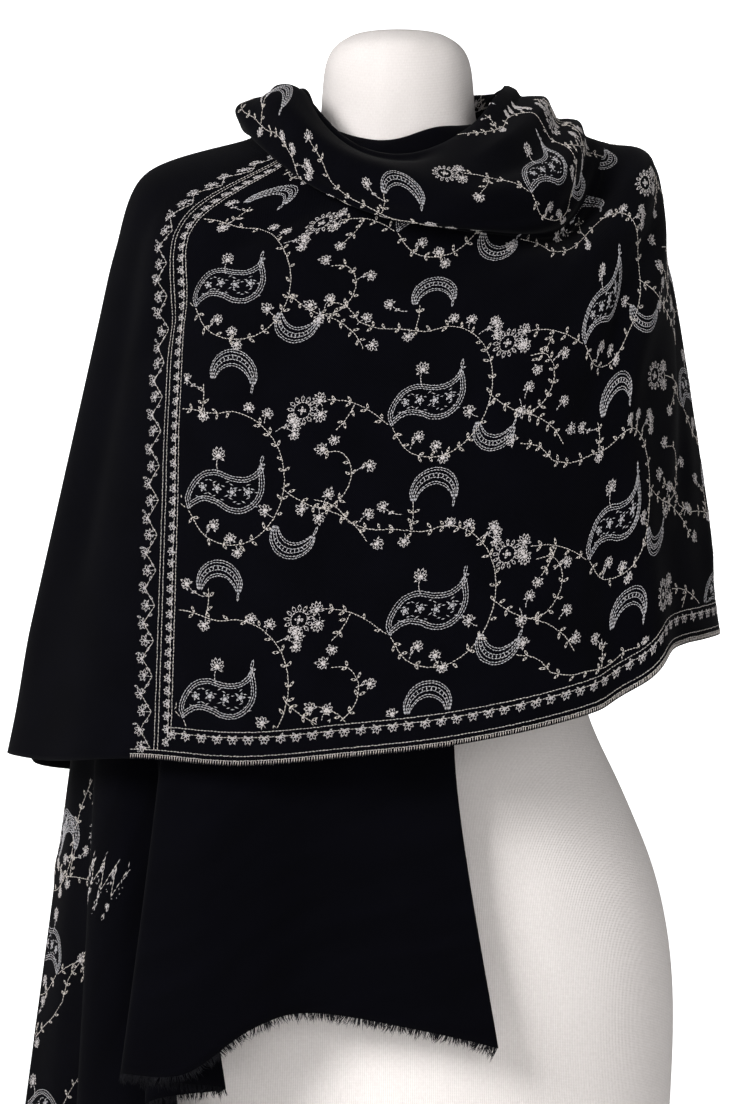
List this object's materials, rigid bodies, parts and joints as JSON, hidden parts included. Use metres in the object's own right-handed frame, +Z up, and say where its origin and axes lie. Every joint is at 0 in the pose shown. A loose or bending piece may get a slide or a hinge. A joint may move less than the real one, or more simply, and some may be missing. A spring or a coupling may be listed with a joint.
{
  "type": "pashmina shawl on dress form",
  "caption": "Black twill shawl with silver-grey paisley embroidery and fringed ends, wound round a limbless dress form with a cowl at the neck.",
  "frame": {"origin": "centre of the dress form's flat base, which rests on the surface", "axes": "+Z up along the form, -Y towards its front, +X to the side that the arm wrap covers"},
  "size_m": [0.5075, 0.3704, 0.9935],
  "materials": {
    "knit_cover": "cream ribbed knit stretched over a smooth form",
    "twill": "soft matt black wool twill with a blue tint and a light nap",
    "fringe": "short black eyelash fringe of loose warp ends",
    "thread": "silver-grey embroidery thread with a slight sheen"
  },
  "bodies": {
    "root": {"dress_form": "knit_cover", "neck_cowl": "twill", "back_wrap": "twill", "arm_wrap": "twill", "front_wrap": "twill", "shoulder_end": "twill", "under_panel": "twill", "fold_column": "twill", "back_column": "twill", "side_strip": "twill", "under_fringe": "fringe", "end_fringe": "fringe"}
  },
  "joints": []
}
